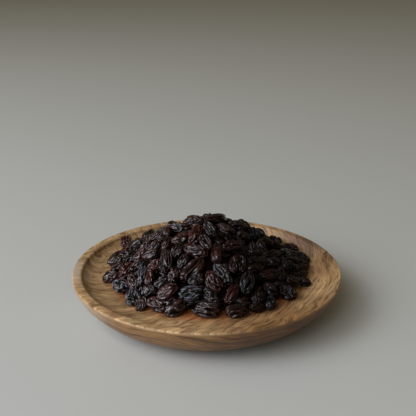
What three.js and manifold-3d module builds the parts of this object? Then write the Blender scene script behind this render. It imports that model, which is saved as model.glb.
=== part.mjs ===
import * as THREE from "three";
import { mergeVertices } from "three/addons/utils/BufferGeometryUtils.js";
import Module from "manifold-3d";

// A shallow turned wooden dish heaped with raisins.
// Millimetres, +Z up. The origin is the middle of the dish's flat foot.

// Driving dimensions of the dish
const DISH_RADIUS = 75;
const DISH_HEIGHT = 22.3;
const FOOT_RADIUS = 48;
const WALL_SWELL = 1.58;
const RIM_EDGE = 0.8;
const RIM_ROUND = 1.6;
const ROUND_SHARE = 0.3;
const COVE_RADIUS = 69.2;
const FLOOR_RADIUS = 55;
const FLOOR_HEIGHT = 16.3;
const DISH_SIDES = 64;
const WALL_STEPS = 6;
const COVE_STEPS = 5;
const COVE_STEEPNESS = 0.96;

// Driving dimensions of the heap, a rounded cone of raisins, wider from side to side
const HEAP_MIDDLE = new THREE.Vector2(-0.4, 3);
const HEAP_RADIUS = 58;
const SIDE_SHARE = 1.08;
const HEAP_RISE = 36.1;
const HEAP_ROUNDNESS = 0.4;
const CORE_DEPTH = 3.2;
const CORE_SHIFT = 1;
const CORE_SHARE = 0.98;
const CORE_RADIUS = 50;
const CORE_EDGE = 1;
const CORE_SIDES = 20;
const CORE_STEPS = 5;
const CLEARANCE = 0.3;

// A raisin's body: ridges and furrows take turns round it, and wind along it
const SEEN_SIDES = 8;
const DRAWN_SIDES = 6;
const RAISIN_RINGS = [
  { along: -0.7, girth: 0.78 },
  { along: 0, girth: 1.02 },
  { along: 0.7, girth: 0.75 },
];
const RIDGE_RISE = 0.11;
const RIDGE_TWIST = 0.35;
const RIDGE_TURN = 2.4;
const THICKNESS_SHARE = 0.84;
const BEND_SHARE = 0.05;
const BEND_MIDDLE = 0.4;

// Where the eye stood that read the raisins: in front of the dish and above it, looking down.
// A place in its picture is across and down from the top left corner.
const EYE = new THREE.Vector3(0.8, -373, 194);
const EYE_TILT = THREE.MathUtils.degToRad(20.1);
const PICTURE_REACH = 725;
const PICTURE_MIDDLE = 208;

// How the raisins are laid. Depths are shares of a raisin's thickness, touches of its girth.
const LYING_DEPTH = 0.46;
const SLOPE_DEPTH = 0.55;
const NEAR_REACH = 300;
const FAR_REACH = 432;
const SIGHT_STEP = 0.25;
const SLOPE_STEP = 3;
const TURN_LIMIT = 0.75;
const SHORTEST = 9;
const LONGEST = 17;
const NEIGHBOUR_REACH = 18;
const SETTLE_PASSES = 40;
const TOUCH_SHARE = 0.95;
const PUSH_SHARE = 0.22;
const RETURN_SHARE = 0.12;
const FILL_DRAWS = 20000;
const FILL_TOUCH_SHARE = 0.7;
const FILL_LENGTH = { least: 10, more: 4.5 };
const FILL_WIDTH = { least: 5.8, more: 2.6 };
const FAR_SIDE = 0.1;
const COVER_REACH = 8;
const COVER_DROP = -1;
const SINK_STEP = 0.75;
const SINK_STEPS = 4;
const FOOT_LIFT = 1;
const FOOT_RING = 44;
const SEED = 1904;
const DRAW_FACTOR = 1664525;
const DRAW_SHIFT = 1013904223;
const DRAW_RANGE = 2 ** 32;
const WELD_DISTANCE = 1e-4;

// Raisins that the front shows, each as
// across and down in the picture, lean in degrees, seen length and width in millimetres.
const CROWN = [
  [195, 221, 3, 10, 6.5], [213.5, 218.5, 8, 10.5, 5.5], [174.5, 228.5, -25, 9.5, 5.5],
  [195, 235, 68, 12, 7.5], [209.5, 229, -62, 9, 6], [226, 229, -28, 11, 6], [236.5, 225, -25, 10, 5],
  [168, 232, 50, 7.5, 5], [164.5, 238, 40, 7.5, 4.5], [180, 239, 20, 10, 6], [243.5, 236, -22, 8, 5],
  [254, 233.5, -50, 7.5, 6], [153.5, 238.5, 30, 6.5, 4.5],
];
const LEFT_SLOPE = [
  [135.5, 245.5, 38, 9.5, 5.5], [147, 244, 40, 7, 5], [154.5, 246, 45, 8.5, 5.5],
  [166, 243.5, 62, 8.5, 5.5], [129, 257.5, 45, 7.5, 5.5], [141, 254, 42, 12, 5.5],
  [149.5, 255.5, 25, 9.5, 5.5], [137.5, 265, 40, 8, 5], [154.5, 266.5, 48, 8.5, 5.5],
  [165, 259.5, 82, 13, 6.7], [142, 273, 78, 12.5, 5.2], [125.5, 270.5, 53, 11.5, 6],
  [116, 260.5, 15, 8, 6], [117, 269, 28, 7.5, 5], [149.5, 277, 75, 8, 4.5], [132.5, 282, 108, 9.5, 5.5],
  [161.5, 282, 40, 7, 5], [148.5, 292, 40, 8.5, 5.5], [143, 302.5, 70, 6.5, 5],
];
const FRONT_SLOPE = [
  [178, 250.5, 58, 7.5, 6], [195, 251.5, -18, 14, 7.2], [206, 243.5, -58, 9, 5.5],
  [193, 268.5, 42, 16.5, 8], [173, 276.5, 75, 9.5, 5.5], [182.5, 261.5, 60, 7, 5],
  [196, 280, 28, 8, 5.5], [213, 282.5, -62, 13, 8], [191, 294, 12, 12.5, 7.5],
  [166.5, 290.5, 34, 13, 6.3], [211.5, 294.5, -45, 10.5, 6],
  [216, 254, 87, 10.5, 6], [232, 245, 8, 11, 5.5], [234, 264.5, 85, 9.5, 5], [222, 273.5, -50, 14, 7],
  [231.5, 294, 62, 11.5, 6],
];
const RIGHT_SLOPE = [
  [252.5, 248, -82, 7.5, 4.5], [261, 246, -72, 7, 5], [266.5, 241.5, -15, 7, 4.5],
  [276.5, 245, -20, 7, 4.5], [286, 249, -40, 7, 5.5], [272, 254, 12, 10, 4.5], [241.5, 264, 88, 9, 5],
  [257, 260.5, 2, 10.5, 5], [255.5, 268.5, 2, 8.5, 4.5], [272, 262, 20, 7, 5.5],
  [284, 263.5, -70, 7, 5], [292, 259.5, -5, 8, 5], [279.5, 273, -80, 7, 5], [292.5, 268, -30, 7.5, 5],
  [303, 260.5, 20, 6.5, 5], [301.5, 267, -3, 7.5, 4.5], [301, 272.5, 3, 7.5, 4.5],
  [247, 282.5, 80, 12, 7.5], [270, 275, 10, 10, 5.5], [270.5, 289.5, -42, 8.5, 6],
  [292.5, 281.5, -28, 8, 6], [258.5, 298.5, 60, 7.5, 6],
];
const FRONT_FOOT = [
  [111, 275.5, 20, 9, 6.5], [121, 286.5, -15, 8.5, 7.5], [133.5, 298.5, 80, 9, 8],
  [156, 304, -30, 10, 6.5], [175.5, 309, 30, 12.5, 7.5], [206, 310, -6, 15, 8.5],
  [237, 311.5, 5, 12, 7.5], [256.5, 307, 0, 8, 5], [270.5, 303, 78, 7.5, 5.5],
  [287.5, 293.5, -28, 10, 8], [304, 281.5, -22, 9, 6],
];

// Finishes
const wood = new THREE.MeshStandardMaterial({ color: 0xb08a5e, roughness: 0.55, metalness: 0 });
const raisinSkin = new THREE.MeshStandardMaterial({ color: 0x3a2528, roughness: 0.42, metalness: 0 });

// A repeatable draw between 0 and 1
function seededDraw(seed) {
  let state = seed;
  return function draw() {
    state = (Math.imul(state, DRAW_FACTOR) + DRAW_SHIFT) >>> 0;
    return state / DRAW_RANGE;
  };
}

// Height of the dish's upper surface at a distance from its middle
function dishSurface(radius) {
  const share = Math.max(0, Math.min(1, (radius - FLOOR_RADIUS) / (COVE_RADIUS - FLOOR_RADIUS)));
  const depth = DISH_HEIGHT - RIM_ROUND - FLOOR_HEIGHT;
  const fall = 1 - Math.sqrt(1 - COVE_STEEPNESS * share * share);
  return FLOOR_HEIGHT + depth * fall / (1 - Math.sqrt(1 - COVE_STEEPNESS));
}

// Height of the heap's outer surface
function heapSurface(x, y) {
  const reach = Math.hypot((x - HEAP_MIDDLE.x) / SIDE_SHARE, y - HEAP_MIDDLE.y) / HEAP_RADIUS;
  const soft = Math.hypot(reach, HEAP_ROUNDNESS) - HEAP_ROUNDNESS;
  const full = Math.hypot(1, HEAP_ROUNDNESS) - HEAP_ROUNDNESS;
  return FLOOR_HEIGHT + HEAP_RISE * (1 - soft / full);
}

// Height at which the middle of a raisin of this thickness lies
function lyingHeight(x, y, thickness) {
  const onHeap = heapSurface(x, y) - SLOPE_DEPTH * thickness;
  const onDish = dishSurface(Math.hypot(x, y)) + LYING_DEPTH * thickness;
  return Math.max(onHeap, onDish);
}

function lyingNormal(x, y, thickness) {
  const east = lyingHeight(x + SLOPE_STEP, y, thickness) - lyingHeight(x - SLOPE_STEP, y, thickness);
  const north = lyingHeight(x, y + SLOPE_STEP, thickness) - lyingHeight(x, y - SLOPE_STEP, thickness);
  return new THREE.Vector3(-east, -north, 2 * SLOPE_STEP).normalize();
}

// Directions of a picture in space: its right, its up and straight ahead
const PICTURE_RIGHT = new THREE.Vector3(1, 0, 0);
const PICTURE_AHEAD = new THREE.Vector3(0, Math.cos(EYE_TILT), -Math.sin(EYE_TILT));
const PICTURE_UP = new THREE.Vector3().crossVectors(PICTURE_RIGHT, PICTURE_AHEAD);

function sightLine(across, down) {
  return PICTURE_AHEAD.clone()
    .addScaledVector(PICTURE_RIGHT, (across - PICTURE_MIDDLE) / PICTURE_REACH)
    .addScaledVector(PICTURE_UP, (PICTURE_MIDDLE - down) / PICTURE_REACH);
}

// Where in the picture a place in space is seen
function inPicture(place) {
  const offset = place.clone().sub(EYE);
  const share = PICTURE_REACH / offset.dot(PICTURE_AHEAD);
  return {
    across: PICTURE_MIDDLE + share * offset.dot(PICTURE_RIGHT),
    down: PICTURE_MIDDLE - share * offset.dot(PICTURE_UP),
  };
}

// The place on the lying surface where a sight line first reaches it, or passes nearest to it
function pointOnHeap(across, down, thickness) {
  const sight = sightLine(across, down);
  const nearest = { gap: Infinity, place: null };
  for (let reach = NEAR_REACH; reach < FAR_REACH; reach += SIGHT_STEP) {
    const place = EYE.clone().addScaledVector(sight, reach);
    const gap = place.z - lyingHeight(place.x, place.y, thickness);
    if (gap < nearest.gap) {
      nearest.gap = gap;
      nearest.place = place;
    }
    if (gap <= 0) {
      break;
    }
  }
  const { x, y } = nearest.place;
  return new THREE.Vector3(x, y, lyingHeight(x, y, thickness));
}

// A raisin at a place, which turns its flatter side to what it lies on
function raisinAt(place, along, length, width, sides) {
  const thickness = width * THICKNESS_SHARE;
  const normal = lyingNormal(place.x, place.y, thickness);
  const lengthwise = along.clone().normalize();
  const up = normal.addScaledVector(lengthwise, -normal.dot(lengthwise)).normalize();
  const sideways = new THREE.Vector3().crossVectors(up, lengthwise);
  return { place, lengthwise, sideways, up, length, width, thickness, sides };
}

// A raisin read from the picture: it turns towards the slope, and leans as it is seen to
function seenRaisin([across, down, lean, seenLength, width]) {
  const thickness = width * THICKNESS_SHARE;
  const place = pointOnHeap(across, down, thickness);
  const normal = lyingNormal(place.x, place.y, thickness);
  const sight = sightLine(across, down).normalize();
  const angle = THREE.MathUtils.degToRad(lean);
  const along = PICTURE_RIGHT.clone()
    .multiplyScalar(Math.cos(angle))
    .addScaledVector(PICTURE_UP, Math.sin(angle));
  const turn = -normal.dot(along) / normal.dot(sight);
  along.addScaledVector(sight, THREE.MathUtils.clamp(turn, -TURN_LIMIT, TURN_LIMIT));
  const length = THREE.MathUtils.clamp(seenLength * along.length(), SHORTEST, LONGEST);
  return raisinAt(place, along, length, width, SEEN_SIDES);
}

// How far a raisin reaches over and under its middle
function halfHeight(raisin) {
  return 0.5 * Math.hypot(
    raisin.length * raisin.lengthwise.z,
    raisin.width * raisin.sideways.z,
    raisin.thickness * raisin.up.z,
  );
}

// Three balls that stand for a raisin's body when it is laid against others
function ballsOf(raisin) {
  const radius = 0.25 * (raisin.width + raisin.thickness);
  const reach = 0.5 * raisin.length - radius;
  return [-1, 0, 1].map((side) => ({
    place: raisin.place.clone().addScaledVector(raisin.lengthwise, side * reach),
    radius,
  }));
}

function overlapPush(first, second, share) {
  const push = new THREE.Vector3();
  for (const one of first) {
    for (const other of second) {
      const apart = one.place.clone().sub(other.place);
      const missing = share * (one.radius + other.radius) - apart.length();
      if (missing > 0) {
        push.addScaledVector(apart.normalize(), missing);
      }
    }
  }
  return push;
}

// Raisins that crowd each other move apart, and stay close to where they were laid
function settle(raisins) {
  const laid = raisins.map((raisin) => raisin.place.clone());
  for (let pass = 0; pass < SETTLE_PASSES; pass += 1) {
    const balls = raisins.map(ballsOf);
    const pushes = raisins.map(() => new THREE.Vector3());
    for (let i = 0; i < raisins.length; i += 1) {
      for (let j = i + 1; j < raisins.length; j += 1) {
        if (raisins[i].place.distanceTo(raisins[j].place) < NEIGHBOUR_REACH) {
          const push = overlapPush(balls[i], balls[j], TOUCH_SHARE);
          pushes[i].addScaledVector(push, PUSH_SHARE);
          pushes[j].addScaledVector(push, -PUSH_SHARE);
        }
      }
    }
    raisins.forEach((raisin, index) => {
      raisin.place.add(pushes[index]);
      raisin.place.lerp(laid[index], RETURN_SHARE);
      const radius = Math.hypot(raisin.place.x, raisin.place.y);
      const lowest = dishSurface(radius) + 2 * LYING_DEPTH * halfHeight(raisin);
      raisin.place.z = Math.max(raisin.place.z, lowest);
    });
  }
}

// A ball is hidden from the front where a raisin of the front stands higher in the picture
function hiddenFromFront(ball, seen) {
  const { across, down } = inPicture(ball.place);
  return seen.some((row) => Math.abs(row[0] - across) < COVER_REACH && down - row[1] > COVER_DROP);
}

// A drawn raisin sinks until raisins of the front hide it, or it is given up
function sinksBehindFront(raisin, seen) {
  for (let step = 0; step < SINK_STEPS; step += 1) {
    if (ballsOf(raisin).every((ball) => hiddenFromFront(ball, seen))) {
      return true;
    }
    raisin.place.z -= SINK_STEP;
  }
  return false;
}

// Drawn raisins fill the far side, which the picture doesn't show
function fillFarSide(raisins, seen) {
  const draw = seededDraw(SEED);
  const balls = raisins.map(ballsOf);
  for (let attempt = 0; attempt < FILL_DRAWS; attempt += 1) {
    const azimuth = 2 * Math.PI * draw();
    const radius = HEAP_RADIUS * Math.sqrt(draw());
    const heading = 2 * Math.PI * draw();
    const length = FILL_LENGTH.least + FILL_LENGTH.more * draw();
    const width = FILL_WIDTH.least + FILL_WIDTH.more * draw();
    const x = HEAP_MIDDLE.x + SIDE_SHARE * radius * Math.cos(azimuth);
    const y = HEAP_MIDDLE.y + radius * Math.sin(azimuth);
    const thickness = width * THICKNESS_SHARE;
    const place = new THREE.Vector3(x, y, lyingHeight(x, y, thickness));
    const normal = lyingNormal(x, y, thickness);
    const along = new THREE.Vector3(Math.cos(heading), Math.sin(heading), 0);
    along.addScaledVector(normal, -along.dot(normal));
    const raisin = raisinAt(place, along, length, width, DRAWN_SIDES);
    const hidden = Math.sin(azimuth) > FAR_SIDE && sinksBehindFront(raisin, seen);
    const own = ballsOf(raisin);
    const crowded = balls.some((other) =>
      other[1].place.distanceTo(own[1].place) < NEIGHBOUR_REACH
      && overlapPush(own, other, FILL_TOUCH_SHARE).lengthSq() > 0);
    if (hidden && !crowded) {
      raisins.push(raisin);
      balls.push(own);
    }
  }
}

// One raisin: rings of ridges and furrows between its two tips, a little bent
function raisinGeometry(raisin, turn, swell = 0) {
  const half = 0.5 * raisin.length + swell;
  const wide = 0.5 * raisin.width + swell;
  const thick = 0.5 * raisin.thickness + swell;
  const bend = BEND_SHARE * raisin.length;
  const { sides } = raisin;
  const points = [];
  const addPoint = (along, side, rise) => {
    points.push(raisin.place.clone()
      .addScaledVector(raisin.lengthwise, along)
      .addScaledVector(raisin.sideways, side)
      .addScaledVector(raisin.up, rise + bend * (BEND_MIDDLE - (along / half) ** 2)));
  };
  addPoint(-half, 0, 0);
  RAISIN_RINGS.forEach((ring, row) => {
    for (let side = 0; side < sides; side += 1) {
      const angle = 2 * Math.PI * side / sides + turn + RIDGE_TWIST * row;
      const girth = ring.girth * (1 + (side % 2 === 0 ? RIDGE_RISE : -RIDGE_RISE));
      addPoint(ring.along * half, wide * girth * Math.cos(angle), thick * girth * Math.sin(angle));
    }
  });
  addPoint(half, 0, 0);

  const faces = [];
  const last = points.length - 1;
  const at = (row, side) => 1 + row * sides + side % sides;
  for (let side = 0; side < sides; side += 1) {
    faces.push(0, at(0, side + 1), at(0, side));
    for (let row = 0; row < RAISIN_RINGS.length - 1; row += 1) {
      faces.push(at(row, side), at(row, side + 1), at(row + 1, side));
      faces.push(at(row, side + 1), at(row + 1, side + 1), at(row + 1, side));
    }
    faces.push(last, at(RAISIN_RINGS.length - 1, side), at(RAISIN_RINGS.length - 1, side + 1));
  }
  const geometry = new THREE.BufferGeometry();
  geometry.setFromPoints(points);
  geometry.setIndex(faces);
  return geometry;
}

// The dish: foot, swelling wall, flat rim, cove and floor in one turned profile
function dishProfile() {
  const profile = [new THREE.Vector2(0, 0)];
  for (let step = 0; step <= WALL_STEPS; step += 1) {
    const share = step / WALL_STEPS;
    const swell = Math.pow(1 - Math.pow(1 - share, WALL_SWELL), 1 / WALL_SWELL);
    const radius = FOOT_RADIUS + (DISH_RADIUS - FOOT_RADIUS) * swell;
    profile.push(new THREE.Vector2(radius, share * (DISH_HEIGHT - RIM_EDGE)));
  }
  const outerDrop = ROUND_SHARE * RIM_EDGE;
  const innerDrop = ROUND_SHARE * RIM_ROUND;
  profile.push(new THREE.Vector2(DISH_RADIUS - outerDrop, DISH_HEIGHT - outerDrop));
  profile.push(new THREE.Vector2(DISH_RADIUS - RIM_EDGE, DISH_HEIGHT));
  profile.push(new THREE.Vector2(COVE_RADIUS + RIM_ROUND, DISH_HEIGHT));
  profile.push(new THREE.Vector2(COVE_RADIUS + innerDrop, DISH_HEIGHT - innerDrop));
  for (let step = COVE_STEPS; step >= 0; step -= 1) {
    const radius = FLOOR_RADIUS + (COVE_RADIUS - FLOOR_RADIUS) * step / COVE_STEPS;
    profile.push(new THREE.Vector2(radius, dishSurface(radius)));
  }
  profile.push(new THREE.Vector2(0, FLOOR_HEIGHT));
  return profile;
}

// A turned solid, stood upright: a lathe turns about Y, the dish about Z
function turned(profile, sides) {
  return new THREE.LatheGeometry(profile, sides).rotateX(Math.PI / 2);
}

// The room over the dish that raisins may fill, clear of its surface
function roomOverDish() {
  const profile = [new THREE.Vector2(0, FLOOR_HEIGHT + CLEARANCE)];
  for (let step = 0; step <= COVE_STEPS; step += 1) {
    const radius = FLOOR_RADIUS + (COVE_RADIUS - FLOOR_RADIUS) * step / COVE_STEPS;
    profile.push(new THREE.Vector2(radius - CLEARANCE, dishSurface(radius) + CLEARANCE));
  }
  profile.push(new THREE.Vector2(COVE_RADIUS - CLEARANCE, FLOOR_HEIGHT + 2 * HEAP_RISE));
  profile.push(new THREE.Vector2(0, FLOOR_HEIGHT + 2 * HEAP_RISE));
  return turned(profile, DISH_SIDES);
}

// The smaller heap within, which the raisins stand out of
function heapCore() {
  const profile = [new THREE.Vector2(0, FLOOR_HEIGHT)];
  for (let step = CORE_STEPS; step >= 1; step -= 1) {
    const radius = CORE_RADIUS * step / CORE_STEPS;
    const height = heapSurface(HEAP_MIDDLE.x, HEAP_MIDDLE.y - radius) - CORE_DEPTH;
    profile.push(new THREE.Vector2(radius, Math.max(height, FLOOR_HEIGHT + CORE_EDGE)));
  }
  const top = heapSurface(HEAP_MIDDLE.x, HEAP_MIDDLE.y) - CORE_DEPTH;
  profile.push(new THREE.Vector2(0, top));
  return turned(profile, CORE_SIDES)
    .scale(SIDE_SHARE, CORE_SHARE, 1)
    .translate(HEAP_MIDDLE.x, HEAP_MIDDLE.y - CORE_SHIFT, 0);
}

const wasm = await Module();
wasm.setup();

// A closed mesh as a solid that can be joined and cut
function solidOf(geometry) {
  const bare = geometry.clone();
  bare.deleteAttribute("normal");
  bare.deleteAttribute("uv");
  const merged = mergeVertices(bare, WELD_DISTANCE);
  return new wasm.Manifold(new wasm.Mesh({
    numProp: 3,
    vertProperties: new Float32Array(merged.attributes.position.array),
    triVerts: new Uint32Array(merged.index.array),
  }));
}

function geometryOf(solid) {
  const mesh = solid.getMesh();
  const geometry = new THREE.BufferGeometry();
  geometry.setAttribute("position", new THREE.BufferAttribute(mesh.vertProperties, 3));
  geometry.setIndex(new THREE.BufferAttribute(mesh.triVerts, 1));
  geometry.computeVertexNormals();
  return geometry;
}

function namedMesh(name, geometry, material) {
  const mesh = new THREE.Mesh(geometry, material.clone());
  mesh.name = name;
  return mesh;
}

function layRaisins() {
  const seen = [...FRONT_FOOT, ...CROWN, ...LEFT_SLOPE, ...FRONT_SLOPE, ...RIGHT_SLOPE];
  const raisins = seen.map(seenRaisin);
  fillFarSide(raisins, seen);
  settle(raisins);
  return raisins;
}

// A raisin at the foot of the heap lies loose on the dish
function liesLoose(raisin) {
  const { x, y, z } = raisin.place;
  const low = z - halfHeight(raisin) < dishSurface(Math.hypot(x, y)) + FOOT_LIFT;
  return low && Math.hypot(x - HEAP_MIDDLE.x, y - HEAP_MIDDLE.y) > FOOT_RING;
}

// The largest piece of a solid, without the scraps that a cut leaves
function largestPiece(solid) {
  return solid.decompose().reduce((best, piece) => (piece.volume() > best.volume() ? piece : best));
}

const group = new THREE.Group();
group.add(namedMesh("dish", turned(dishProfile(), DISH_SIDES), wood));

const room = solidOf(roomOverDish());
const raisins = layRaisins();
const shaped = raisins.map((raisin, index) => ({ raisin, turn: index * RIDGE_TURN }));
const loose = shaped.filter(({ raisin }) => liesLoose(raisin));
const fused = shaped.filter(({ raisin }) => !liesLoose(raisin));

let heap = solidOf(heapCore());
for (const { raisin, turn } of fused) {
  heap = heap.add(solidOf(raisinGeometry(raisin, turn)));
}
heap = heap.intersect(room);

let taken = null;
loose.forEach(({ raisin, turn }, index) => {
  let solid = solidOf(raisinGeometry(raisin, turn)).intersect(room);
  const surrounds = solidOf(raisinGeometry(raisin, turn, CLEARANCE));
  if (taken) {
    solid = solid.subtract(taken);
  }
  taken = taken ? taken.add(surrounds) : surrounds;
  const name = "raisin_" + String(index + 1).padStart(2, "0");
  group.add(namedMesh(name, geometryOf(largestPiece(solid)), raisinSkin));
});
group.add(namedMesh("raisin_heap", geometryOf(largestPiece(heap.subtract(taken))), raisinSkin));

export default group;
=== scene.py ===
"""A shallow turned wooden dish heaped with dark, wrinkled raisins.

The raisins are laid by the same rule as their solids: those of the front one by one,
as the eye sees them, and those of the far side by seeded draws. All settle together.
"""

import math

import bpy
import numpy as np
from mathutils import Matrix, Vector


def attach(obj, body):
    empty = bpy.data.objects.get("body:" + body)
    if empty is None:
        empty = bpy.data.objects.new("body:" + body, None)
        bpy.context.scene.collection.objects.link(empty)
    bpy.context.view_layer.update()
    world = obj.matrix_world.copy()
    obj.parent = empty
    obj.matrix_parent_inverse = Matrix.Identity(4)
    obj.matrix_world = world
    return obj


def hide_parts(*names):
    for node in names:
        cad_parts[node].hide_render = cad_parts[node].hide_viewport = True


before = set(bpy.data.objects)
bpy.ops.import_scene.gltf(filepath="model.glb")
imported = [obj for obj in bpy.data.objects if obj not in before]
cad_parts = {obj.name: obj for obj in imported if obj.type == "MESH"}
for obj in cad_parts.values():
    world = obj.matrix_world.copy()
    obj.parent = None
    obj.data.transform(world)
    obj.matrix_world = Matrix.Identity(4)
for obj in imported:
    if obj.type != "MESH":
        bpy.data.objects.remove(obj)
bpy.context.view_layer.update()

# The laying rule counts in millimetres, and the pieces are modelled in metres
MM = 0.001

# The dish, in millimetres
DISH_RADIUS = 75
DISH_HEIGHT = 22.3
FOOT_RADIUS = 48
WALL_SWELL = 1.58
RIM_EDGE = 0.8
RIM_ROUND = 1.6
COVE_RADIUS = 69.2
FLOOR_RADIUS = 55
FLOOR_HEIGHT = 16.3
COVE_STEEPNESS = 0.96
POLE_RADIUS = 0.5
FOOT_EDGE = 0.6
LEAST_RISE = 0.12
WALL_FADE = 6
WALL_CROWDING = 1.4
COVE_CROWDING = 1.5
EDGE_ARC = (15, 90)
ROUND_ARC = (90, 165)
DISH_SIDES = 192
WALL_STEPS = 26
EDGE_STEPS = 5
COVE_STEPS = 24
FLOOR_RINGS = 6

# The heap, in millimetres
HEAP_MIDDLE = (-0.4, 3)
HEAP_RADIUS = 58
SIDE_SHARE = 1.08
HEAP_RISE = 36.1
HEAP_ROUNDNESS = 0.4
THICKNESS_SHARE = 0.84

# The eye that read the raisins, in millimetres, and its picture, in picture points
EYE = np.array([0.8, -373.0, 194.0])
EYE_TILT = math.radians(20.1)
PICTURE_REACH = 725
PICTURE_MIDDLE = 208
PICTURE_SIDE = 416

# How the raisins are laid. Depths are shares of a thickness, touches of a girth. Pairs give
# the least, and how much more it can be.
LYING_DEPTH = 0.46
SLOPE_DEPTH = 0.55
NEAR_REACH = 300
FAR_REACH = 432
SIGHT_STEP = 0.25
SLOPE_STEP = 3
TURN_LIMIT = 0.75
SHORTEST = 9
LONGEST = 17
NEIGHBOUR_REACH = 18
SETTLE_PASSES = 40
TOUCH_SHARE = 0.95
PUSH_SHARE = 0.22
RETURN_SHARE = 0.12
LEAST_DISTANCE = 1e-9
FILL_DRAWS = 20000
FILL_TOUCH_SHARE = 0.7
FILL_LENGTH = (10, 4.5)
FILL_WIDTH = (5.8, 2.6)
FAR_SIDE = 0.1
COVER_REACH = 8
COVER_DROP = -1
SINK_STEP = 0.75
SINK_STEPS = 4
FOOT_LIFT = 1
FOOT_RING = 44
SEED = 1904
DRAW_FACTOR = 1664525
DRAW_SHIFT = 1013904223
DRAW_RANGE = 2 ** 32
DRAWN_TONE = (-0.8, 1.6)

# Raisins under the outer ones, which show in the gaps
INNER_DRAWS = 6000
INNER_DEPTH = 6.2
INNER_COVER = 1.5
INNER_RADIUS = 47
INNER_TOUCH_SHARE = 0.78
INNER_SEED = 733
CORE_DEPTH = 7.5
CORE_RADIUS = 46
CORE_SIDES = 48
CORE_STEPS = 12

# Raisins that the front shows, each as across and down in the picture, lean in degrees, seen
# length and width in millimetres, and tone from -1, blue-black, over 0, brown-black, to 1, red
CROWN = [
    (195, 221, 3, 10, 6.5, 0.3), (213.5, 218.5, 8, 10.5, 5.5, 0.2), (174.5, 228.5, -25, 9.5, 5.5, -0.1),
    (195, 235, 68, 12, 7.5, 0.8), (209.5, 229, -62, 9, 6, -0.5), (226, 229, -28, 11, 6, 0.2),
    (236.5, 225, -25, 10, 5, -0.2), (168, 232, 50, 7.5, 5, 0.6), (164.5, 238, 40, 7.5, 4.5, 0.1),
    (180, 239, 20, 10, 6, 0.5), (243.5, 236, -22, 8, 5, -0.2), (254, 233.5, -50, 7.5, 6, -0.3),
    (153.5, 238.5, 30, 6.5, 4.5, 0.4),
]
LEFT_SLOPE = [
    (135.5, 245.5, 38, 9.5, 5.5, 0.4), (147, 244, 40, 7, 5, 0.2), (154.5, 246, 45, 8.5, 5.5, 0.1),
    (166, 243.5, 62, 8.5, 5.5, 0.2), (129, 257.5, 45, 7.5, 5.5, -0.3), (141, 254, 42, 12, 5.5, 0.6),
    (149.5, 255.5, 25, 9.5, 5.5, 0.4), (137.5, 265, 40, 8, 5, 0.0), (154.5, 266.5, 48, 8.5, 5.5, 0.8),
    (165, 259.5, 82, 13, 6.7, -0.1), (142, 273, 78, 12.5, 5.2, -0.8), (125.5, 270.5, 53, 11.5, 6, 0.8),
    (116, 260.5, 15, 8, 6, 0.2), (117, 269, 28, 7.5, 5, 0.4), (149.5, 277, 75, 8, 4.5, 0.7),
    (132.5, 282, 108, 9.5, 5.5, 0.3), (161.5, 282, 40, 7, 5, -0.5), (148.5, 292, 40, 8.5, 5.5, -0.4),
    (143, 302.5, 70, 6.5, 5, 0.1),
]
FRONT_SLOPE = [
    (178, 250.5, 58, 7.5, 6, -0.1), (195, 251.5, -18, 14, 7.2, 0.3), (206, 243.5, -58, 9, 5.5, 0.0),
    (193, 268.5, 42, 16.5, 8, 0.4), (173, 276.5, 75, 9.5, 5.5, 0.2), (182.5, 261.5, 60, 7, 5, -0.4),
    (196, 280, 28, 8, 5.5, -0.5), (213, 282.5, -62, 13, 8, 0.6), (191, 294, 12, 12.5, 7.5, -1.0),
    (166.5, 290.5, 34, 13, 6.3, 0.5), (211.5, 294.5, -45, 10.5, 6, -0.4), (216, 254, 87, 10.5, 6, 0.5),
    (232, 245, 8, 11, 5.5, 0.4), (234, 264.5, 85, 9.5, 5, 0.2), (222, 273.5, -50, 14, 7, -0.6),
    (231.5, 294, 62, 11.5, 6, 0.9),
]
RIGHT_SLOPE = [
    (252.5, 248, -82, 7.5, 4.5, -0.2), (261, 246, -72, 7, 5, 0.0), (266.5, 241.5, -15, 7, 4.5, 0.2),
    (276.5, 245, -20, 7, 4.5, 0.4), (286, 249, -40, 7, 5.5, 0.4), (272, 254, 12, 10, 4.5, 0.1),
    (241.5, 264, 88, 9, 5, 0.2), (257, 260.5, 2, 10.5, 5, -0.2), (255.5, 268.5, 2, 8.5, 4.5, 0.2),
    (272, 262, 20, 7, 5.5, 0.0), (284, 263.5, -70, 7, 5, -0.1), (292, 259.5, -5, 8, 5, 0.2),
    (279.5, 273, -80, 7, 5, 0.1), (292.5, 268, -30, 7.5, 5, 0.0), (303, 260.5, 20, 6.5, 5, 0.0),
    (301.5, 267, -3, 7.5, 4.5, 0.1), (301, 272.5, 3, 7.5, 4.5, 0.0), (247, 282.5, 80, 12, 7.5, -0.7),
    (270, 275, 10, 10, 5.5, 0.4), (270.5, 289.5, -42, 8.5, 6, -0.1), (292.5, 281.5, -28, 8, 6, 0.0),
    (258.5, 298.5, 60, 7.5, 6, 0.1),
]
FRONT_FOOT = [
    (111, 275.5, 20, 9, 6.5, 0.3), (121, 286.5, -15, 8.5, 7.5, -0.8), (133.5, 298.5, 80, 9, 8, -0.9),
    (156, 304, -30, 10, 6.5, 0.5), (175.5, 309, 30, 12.5, 7.5, 0.0), (206, 310, -6, 15, 8.5, 0.1),
    (237, 311.5, 5, 12, 7.5, 0.2), (256.5, 307, 0, 8, 5, 0.0), (270.5, 303, 78, 7.5, 5.5, -0.7),
    (287.5, 293.5, -28, 10, 8, 0.1), (304, 281.5, -22, 9, 6, 0.0),
]
SEEN_ROWS = FRONT_FOOT + CROWN + LEFT_SLOPE + FRONT_SLOPE + RIGHT_SLOPE

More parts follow.
